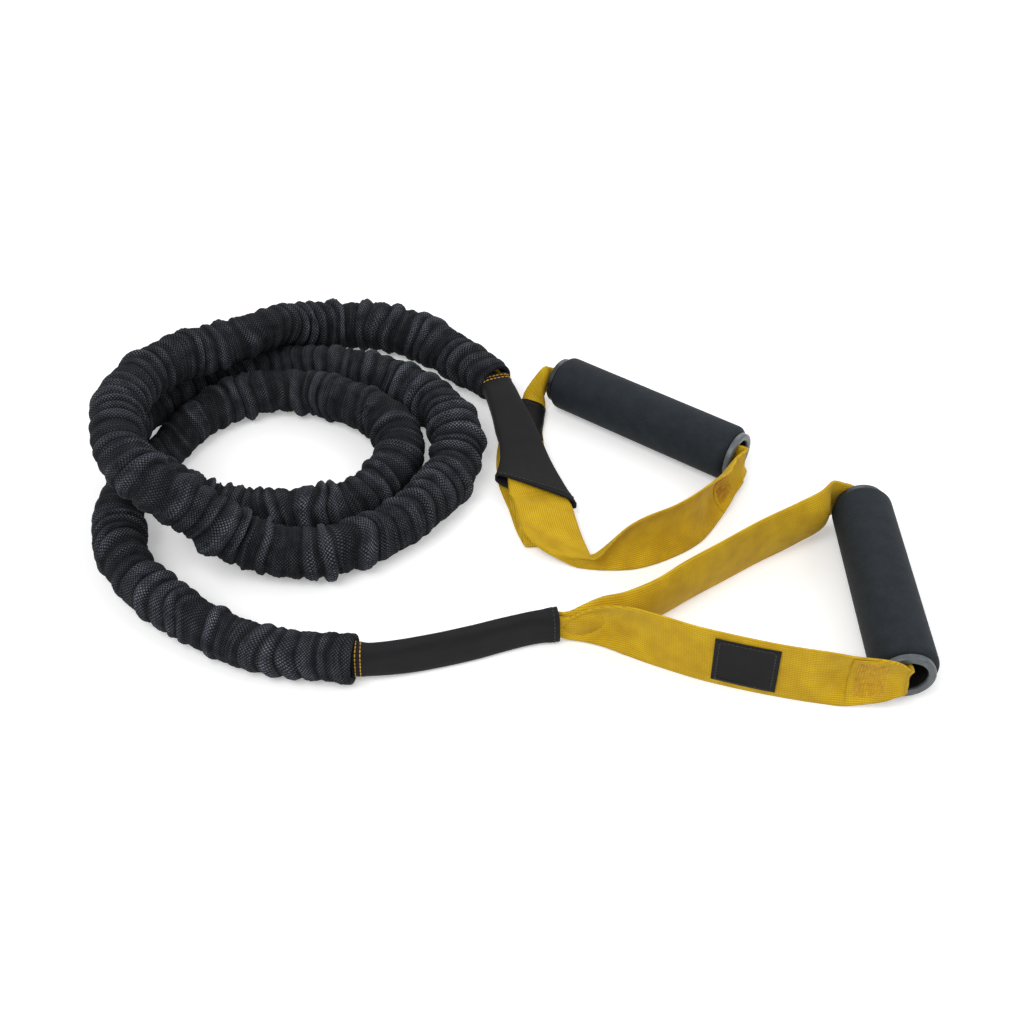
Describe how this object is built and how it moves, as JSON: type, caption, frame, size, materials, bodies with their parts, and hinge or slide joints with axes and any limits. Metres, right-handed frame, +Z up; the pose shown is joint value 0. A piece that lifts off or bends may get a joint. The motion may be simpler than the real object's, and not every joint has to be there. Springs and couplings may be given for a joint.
{
  "type": "resistance tube with handles",
  "caption": "Elastic exercise tube in a gathered safety sleeve, loosely coiled, with a webbing handle and round foam grip at each end.",
  "frame": {"origin": "on the floor, under the middle of the box round the two handles, which leaves out the free tube", "axes": "+X from the coil towards the front handle's grip, along the two handles' longer side, +Y away from the front handle's near strand, +Z up"},
  "size_m": [0.4738, 0.3518, 0.0838],
  "materials": {
    "sleeve_fabric": "gathered ripstop-like fabric, dull",
    "sheath_fabric": "plain weave, dull",
    "webbing": "woven strap",
    "thread": "sewing thread",
    "foam": "closed-cell foam, dull",
    "plastic": "moulded, satin",
    "latex": "dipped latex, satin",
    "label": "woven patch, bare"
  },
  "bodies": {
    "tube": {"safety_sleeve": "sleeve_fabric", "latex_tube": "latex", "front_tube_plug": "plastic", "rear_tube_plug": "plastic", "front_anchor_webbing": "webbing", "rear_anchor_webbing": "webbing", "front_whipping": "thread", "rear_whipping": "thread"},
    "front_handle": {"front_webbing": "webbing", "front_sheath": "sheath_fabric", "front_sheath_tail_stitch": "thread", "front_sheath_mouth_stitch": "thread", "front_bar_tack": "thread", "front_label_patch": "label"},
    "front_grip": {"front_grip_foam": "foam", "front_grip_core": "plastic", "front_grip_end_ring": "plastic", "front_grip_far_ring": "plastic"},
    "rear_handle": {"rear_webbing": "webbing", "rear_sheath": "sheath_fabric", "rear_sheath_tail_stitch": "thread", "rear_sheath_mouth_stitch": "thread", "rear_bar_tack": "thread"},
    "rear_grip": {"rear_grip_foam": "foam", "rear_grip_core": "plastic", "rear_grip_end_ring": "plastic", "rear_grip_far_ring": "plastic"}
  },
  "joints": [
    {"name": "front_handle_lift", "type": "hinge", "parent": "tube", "child": "front_handle", "pos_m": [-0.1534, -0.1142, 0.02165], "axis": [0, -1, 0], "range_deg": [0, 90]},
    {"name": "rear_handle_lift", "type": "hinge", "parent": "tube", "child": "rear_handle", "pos_m": [-0.0796, 0.1281, 0.02395], "axis": [-0.951, -0.3093, 0], "range_deg": [0, 90]},
    {"name": "front_grip_spin", "type": "hinge", "parent": "front_handle", "child": "front_grip", "pos_m": [0.13494, -0.0632, 0.0175], "axis": [0.0244, 0.9997, 0], "continuous": true},
    {"name": "rear_grip_spin", "type": "hinge", "parent": "rear_handle", "child": "rear_grip", "pos_m": [0.01628, 0.08957, 0.0175], "axis": [-0.7997, 0.6004, 0], "continuous": true}
  ]
}
